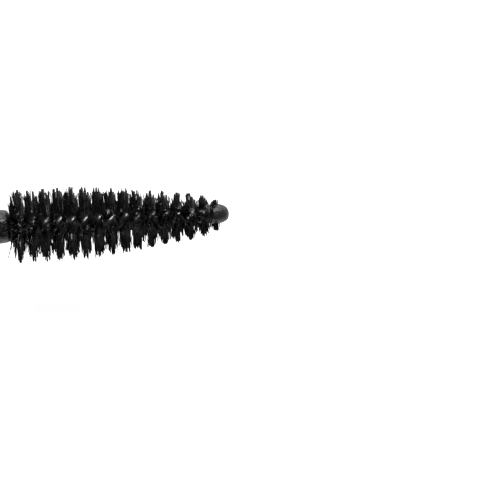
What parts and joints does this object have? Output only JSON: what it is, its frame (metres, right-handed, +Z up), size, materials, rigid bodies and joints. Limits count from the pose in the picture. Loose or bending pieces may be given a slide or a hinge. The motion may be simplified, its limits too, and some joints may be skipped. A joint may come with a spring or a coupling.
{
  "type": "mascara",
  "caption": "Mascara with its wand drawn out: a cap with a stem and a tapered twisted-wire brush, in line with the tube that it screws onto.",
  "frame": {"origin": "on the surface that wand and tube lie on, under the middle of their common axis with the wand drawn all the way out", "axes": "+X along the common axis, from the cap's end to the tube's base; +Z up from the surface"},
  "size_m": [0.217, 0.018, 0.018],
  "materials": {
    "gloss_black": "gloss",
    "dark_metal": "satin",
    "liner_plastic": "satin",
    "steel": "satin",
    "stem_black": "gloss",
    "wire_steel": "gloss",
    "bristle_nylon": "satin",
    "soft_foam": "matte",
    "vial_plastic": "satin",
    "wiper_rubber": "satin",
    "label_film": "satin",
    "mascara": "gloss"
  },
  "bodies": {
    "tube": {"bottle_shell": "gloss_black", "vial": "vial_plastic", "shoulder_collar": "dark_metal", "wiper": "wiper_rubber", "mascara_fill": "mascara", "base_plug": "gloss_black", "base_label": "label_film"},
    "gasket": {"neck_gasket": "soft_foam"},
    "wand": {"cap_shell": "gloss_black", "cap_top_disc": "dark_metal", "cap_ring": "dark_metal", "inner_cap": "liner_plastic", "cap_weight": "steel", "stem": "stem_black", "core_wire": "wire_steel", "bristle_fan_01": "bristle_nylon", "bristle_fan_02": "bristle_nylon", "bristle_fan_03": "bristle_nylon", "bristle_fan_04": "bristle_nylon", "bristle_fan_05": "bristle_nylon", "bristle_fan_06": "bristle_nylon", "bristle_fan_07": "bristle_nylon", "bristle_fan_08": "bristle_nylon", "bristle_fan_09": "bristle_nylon", "bristle_fan_10": "bristle_nylon", "bristle_fan_11": "bristle_nylon", "bristle_fan_12": "bristle_nylon", "bristle_fan_13": "bristle_nylon", "bristle_fan_14": "bristle_nylon", "bristle_fan_15": "bristle_nylon", "bristle_fan_16": "bristle_nylon"}
  },
  "joints": [
    {"name": "wand_slide", "type": "slide", "parent": "tube", "child": "gasket", "axis": [1, 0, 0], "range_m": [0, 0.1027], "deforming": ["wiper"]},
    {"name": "cap_turn", "type": "hinge", "parent": "gasket", "child": "wand", "pos_m": [-0.0565, 0, 0.009], "axis": [1, 0, 0], "range_deg": [0, 360]}
  ]
}
